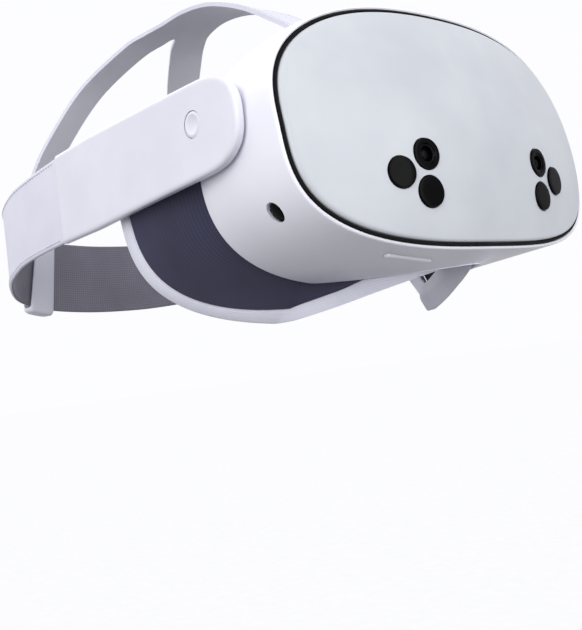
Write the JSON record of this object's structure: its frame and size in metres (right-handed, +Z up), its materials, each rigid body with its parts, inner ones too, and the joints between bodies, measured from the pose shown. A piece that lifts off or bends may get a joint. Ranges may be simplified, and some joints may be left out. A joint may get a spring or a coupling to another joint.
{
  "type": "virtual reality headset",
  "caption": "Headset with a bowed front cover, camera windows, lenses, a face seal and a tilting head strap with a forked crown strap.",
  "frame": {"origin": "centre of the bounding box in plan, at the lowest point of the face cushion", "axes": "+X to the wearer's left, +Y from the front of the visor to the back of the head, +Z up"},
  "size_m": [0.1922, 0.2939, 0.1765],
  "materials": {
    "cover_panel": "satin light grey moulded plastic",
    "window_glass": "polished near-black window",
    "camera_body": "matt black",
    "gasket_rubber": "matt black rubber",
    "housing_shell": "fine-grained white moulded plastic",
    "control_caps": "white moulded plastic",
    "seal_frame": "dark woven cloth over a moulded frame",
    "cushion_fabric": "pale knitted cloth over foam",
    "optics_black": "matt black",
    "lens_glass": "clear moulded lens",
    "steel_parts": "plain steel",
    "chassis_alloy": "die-cast, as cast",
    "circuit_board": "green solder mask",
    "arm_shell": "fine-grained off-white moulded plastic",
    "strap_elastic": "pale elastic webbing, grey on the inside"
  },
  "bodies": {
    "visor": {"front_cover": "cover_panel", "sensor_window_right_top": "window_glass", "tracking_camera_right": "camera_body", "sensor_window_right_outer": "window_glass", "infrared_emitter_right": "camera_body", "sensor_window_right_bottom": "window_glass", "colour_camera_right": "camera_body", "sensor_window_left_top": "window_glass", "tracking_camera_left": "camera_body", "sensor_window_left_outer": "window_glass", "infrared_emitter_left": "camera_body", "sensor_window_left_bottom": "window_glass", "colour_camera_left": "camera_body", "cover_gasket": "gasket_rubber", "main_housing": "housing_shell", "side_camera_right": "window_glass", "side_camera_left": "window_glass", "seal_shell": "seal_frame", "face_cushion": "cushion_fabric", "lens_rail": "steel_parts", "eyepiece_shroud": "optics_black", "proximity_sensor": "window_glass", "display_panel": "window_glass", "chassis_plate": "chassis_alloy", "main_board": "circuit_board", "battery_pack": "optics_black", "fan_housing": "optics_black", "chassis_screw_1": "steel_parts", "chassis_screw_2": "steel_parts", "chassis_screw_3": "steel_parts", "chassis_screw_4": "steel_parts", "speaker_right": "optics_black", "speaker_left": "optics_black", "charging_port": "steel_parts", "pivot_post_left": "steel_parts", "pivot_post_right": "steel_parts", "strap_anchor_bar": "steel_parts"},
    "head_strap": {"strap_arm_left": "arm_shell", "strap_arm_right": "arm_shell", "arm_cap_left": "arm_shell", "arm_cap_right": "arm_shell", "rear_band": "strap_elastic", "top_strap": "strap_elastic", "crown_branch_right": "strap_elastic", "crown_branch_left": "strap_elastic"},
    "volume_rocker": {"volume_rocker": "control_caps"},
    "power_button": {"power_button": "control_caps"},
    "fan_rotor": {"fan_rotor": "optics_black"},
    "lens_carriage_right": {"lens_carrier_right": "optics_black", "lens_right": "lens_glass"},
    "lens_carriage_left": {"lens_carrier_left": "optics_black", "lens_left": "lens_glass"},
    "slider_right": {"strap_slider_right": "strap_elastic"},
    "slider_left": {"strap_slider_left": "strap_elastic"}
  },
  "joints": [
    {"name": "strap_tilt", "type": "hinge", "parent": "visor", "child": "head_strap", "pos_m": [0, -0.0856, 0.0758], "axis": [1, 0, 0], "range_deg": [-12, 16], "deforming": ["top_strap"]},
    {"name": "lens_spacing_right", "type": "slide", "parent": "visor", "child": "lens_carriage_right", "axis": [-1, 0, 0], "range_m": [-0.0025, 0.0025]},
    {"name": "lens_spacing_left", "type": "slide", "parent": "visor", "child": "lens_carriage_left", "axis": [1, 0, 0], "range_m": [-0.0025, 0.0025]},
    {"name": "volume_press", "type": "slide", "parent": "visor", "child": "volume_rocker", "axis": [0, 0, 1], "range_m": [0, 0.0008], "stiffness_N_per_m": 900},
    {"name": "power_press", "type": "slide", "parent": "visor", "child": "power_button", "axis": [-1, 0, 0], "range_m": [0, 0.0008], "stiffness_N_per_m": 900},
    {"name": "fan_spin", "type": "hinge", "parent": "visor", "child": "fan_rotor", "pos_m": [0, -0.1161, 0.0798], "axis": [0, 1, 0], "continuous": true},
    {"name": "slider_right_slide", "type": "slide", "parent": "head_strap", "child": "slider_right", "axis": [0.9561, 0.2259, -0.1868], "range_m": [-0.003, 0.009]},
    {"name": "slider_left_slide", "type": "slide", "parent": "head_strap", "child": "slider_left", "axis": [-0.9561, 0.2259, -0.1868], "range_m": [-0.003, 0.009]}
  ],
  "couplings": [
    {"joint": "lens_spacing_left", "follows": "lens_spacing_right", "ratio": 1}
  ]
}
